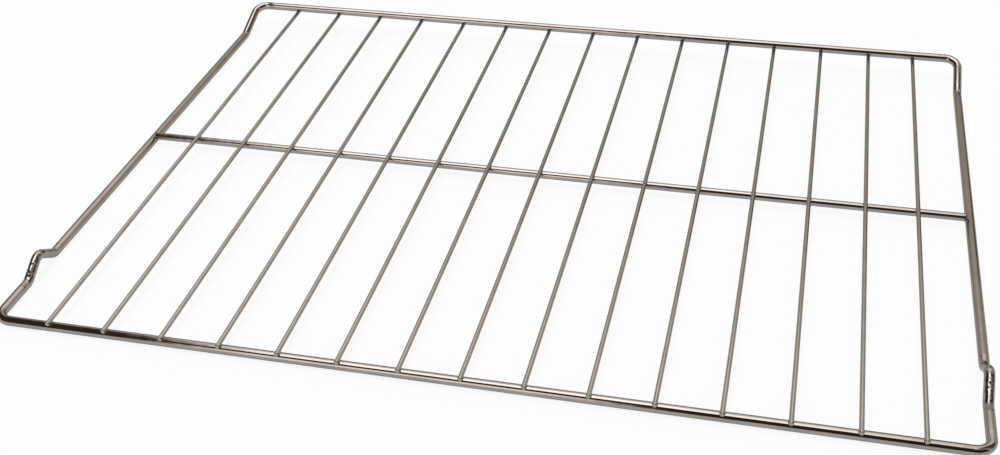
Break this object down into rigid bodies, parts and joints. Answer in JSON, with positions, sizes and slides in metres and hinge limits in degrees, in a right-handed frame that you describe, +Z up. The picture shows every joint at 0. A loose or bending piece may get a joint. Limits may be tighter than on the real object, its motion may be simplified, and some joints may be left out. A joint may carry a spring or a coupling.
{
  "type": "oven shelf rack",
  "caption": "Chrome-plated steel wire oven shelf: parallel wires welded across a bent perimeter frame with stop humps near the front, a raised back rail and a centre bar below.",
  "frame": {"origin": "centre of the bounding box's bottom, on the plane that the front and side rails rest on", "axes": "+X to the right along the front rail, +Y from the front rail to the raised back rail, +Z up"},
  "size_m": [0.6096, 0.4572, 0.0193],
  "materials": {
    "frame_chrome": "bright chrome plating on drawn steel wire",
    "bar_chrome": "bright chrome plating on drawn steel wire",
    "wire_chrome": "bright chrome plating on drawn steel wire"
  },
  "bodies": {
    "root": {"perimeter_frame": "frame_chrome", "centre_bar": "bar_chrome", "shelf_wire_01": "wire_chrome", "shelf_wire_02": "wire_chrome", "shelf_wire_03": "wire_chrome", "shelf_wire_04": "wire_chrome", "shelf_wire_05": "wire_chrome", "shelf_wire_06": "wire_chrome", "shelf_wire_07": "wire_chrome", "shelf_wire_08": "wire_chrome", "shelf_wire_09": "wire_chrome", "shelf_wire_10": "wire_chrome", "shelf_wire_11": "wire_chrome", "shelf_wire_12": "wire_chrome", "shelf_wire_13": "wire_chrome", "shelf_wire_14": "wire_chrome", "shelf_wire_15": "wire_chrome"}
  },
  "joints": []
}
